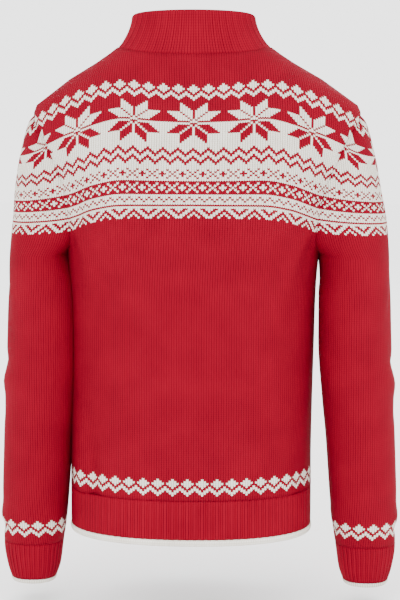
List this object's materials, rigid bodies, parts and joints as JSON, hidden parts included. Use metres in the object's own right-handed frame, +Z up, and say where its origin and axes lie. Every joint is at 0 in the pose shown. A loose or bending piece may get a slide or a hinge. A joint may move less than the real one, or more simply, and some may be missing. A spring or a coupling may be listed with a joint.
{
  "type": "norwegian cardigan",
  "caption": "Red knitted cardigan with a cream Nordic star yoke, ribbed stand collar, front zip and cream-tipped hem and cuffs, in its worn shape.",
  "frame": {"origin": "middle of the neck hole, level with the side neck points, where the wearer's neck and shoulders hold the garment", "axes": "+Z up the wearer's body, -Y out of the zipped front, +X to the wearer's left"},
  "size_m": [0.5464, 0.2323, 0.7901],
  "materials": {
    "nordic_knit": "matt stocking-stitch knit with a cream Nordic pattern",
    "red_rib": "matt ribbed knit",
    "cream_tipping": "matt knit edge",
    "zip_tape": "woven tape",
    "zip_metal": "polished nickel"
  },
  "bodies": {
    "garment": {"back": "nordic_knit", "front_left": "nordic_knit", "front_right": "nordic_knit", "sleeve_left": "nordic_knit", "sleeve_right": "nordic_knit", "collar": "red_rib", "hem_rib_back": "red_rib", "hem_rib_front_left": "red_rib", "hem_rib_front_right": "red_rib", "cuff_left": "red_rib", "cuff_right": "red_rib", "hem_tipping_back": "cream_tipping", "hem_tipping_front_left": "cream_tipping", "hem_tipping_front_right": "cream_tipping", "cuff_tipping_left": "cream_tipping", "cuff_tipping_right": "cream_tipping", "zip_tape_left": "zip_tape", "zip_tape_right": "zip_tape", "zip_chain": "zip_metal", "zip_slider": "zip_metal"},
    "pull_tab": {"pull_tab": "zip_metal"}
  },
  "joints": [
    {"name": "pull_tab_hinge", "type": "hinge", "parent": "garment", "child": "pull_tab", "pos_m": [-0.00015, -0.07537, -0.02522], "axis": [-1, 0, 0], "range_deg": [0, 150]}
  ]
}
